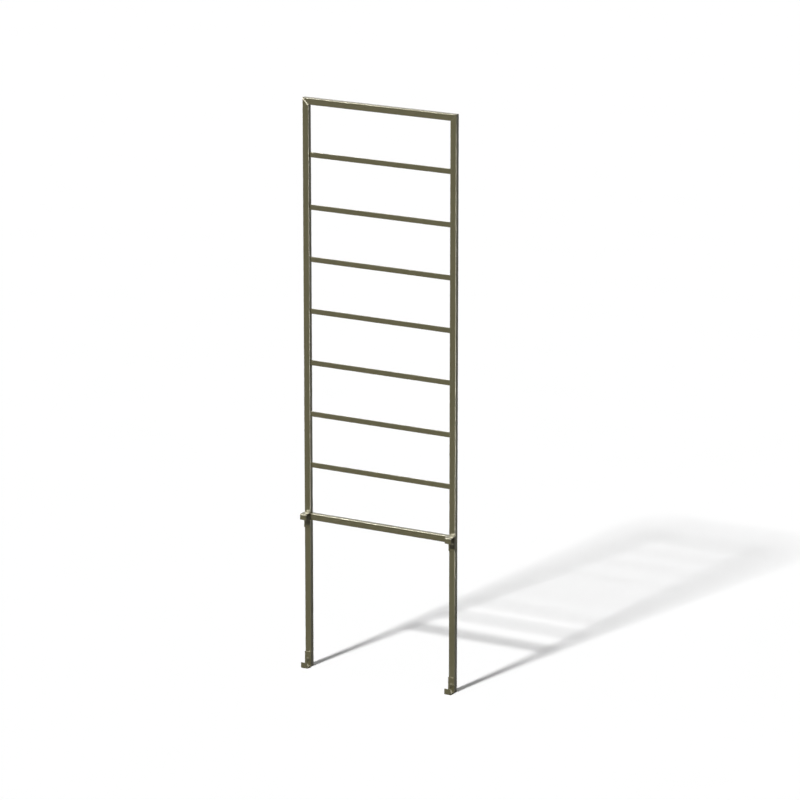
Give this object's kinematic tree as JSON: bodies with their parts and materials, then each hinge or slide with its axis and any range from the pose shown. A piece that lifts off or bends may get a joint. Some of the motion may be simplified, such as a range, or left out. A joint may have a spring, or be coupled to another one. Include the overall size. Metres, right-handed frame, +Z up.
{
  "type": "espalier frame",
  "caption": "Tall ladder-shaped metal trellis for climbing plants, with hooks on its posts that go over a planter's rim and slide up under its lower edge.",
  "frame": {"origin": "on the ground, under the middle of the part's box", "axes": "+Z up along the posts, +X across the frame to the right seen from the hooks' side, -Y towards the planter that the hooks hold"},
  "size_m": [0.5, 0.04, 1.69],
  "materials": {
    "bronze_paint": "satin bronze metallic powder coat",
    "screw_bronze": "steel screws coated in the frame's bronze",
    "nut_zinc": "zinc plated steel",
    "plug_plastic": "black moulded polyethylene"
  },
  "bodies": {
    "frame": {"left_post": "bronze_paint", "right_post": "bronze_paint", "top_rail": "bronze_paint", "cross_rail": "bronze_paint", "rung_1": "bronze_paint", "rung_2": "bronze_paint", "rung_3": "bronze_paint", "rung_4": "bronze_paint", "rung_5": "bronze_paint", "rung_6": "bronze_paint", "rung_7": "bronze_paint", "left_rim_hook": "bronze_paint", "right_rim_hook": "bronze_paint", "left_rim_screw": "screw_bronze", "right_rim_screw": "screw_bronze", "left_foot_screw": "screw_bronze", "right_foot_screw": "screw_bronze", "left_rim_nut": "nut_zinc", "right_rim_nut": "nut_zinc", "left_foot_nut": "nut_zinc", "right_foot_nut": "nut_zinc", "left_end_plug": "plug_plastic", "right_end_plug": "plug_plastic"},
    "left_foot": {"left_foot_hook": "bronze_paint"},
    "right_foot": {"right_foot_hook": "bronze_paint"}
  },
  "joints": [
    {"name": "left_foot_slide", "type": "slide", "parent": "frame", "child": "left_foot", "axis": [0, 0, 1], "range_m": [0, 0.01]},
    {"name": "right_foot_slide", "type": "slide", "parent": "frame", "child": "right_foot", "axis": [0, 0, 1], "range_m": [0, 0.01]}
  ]
}
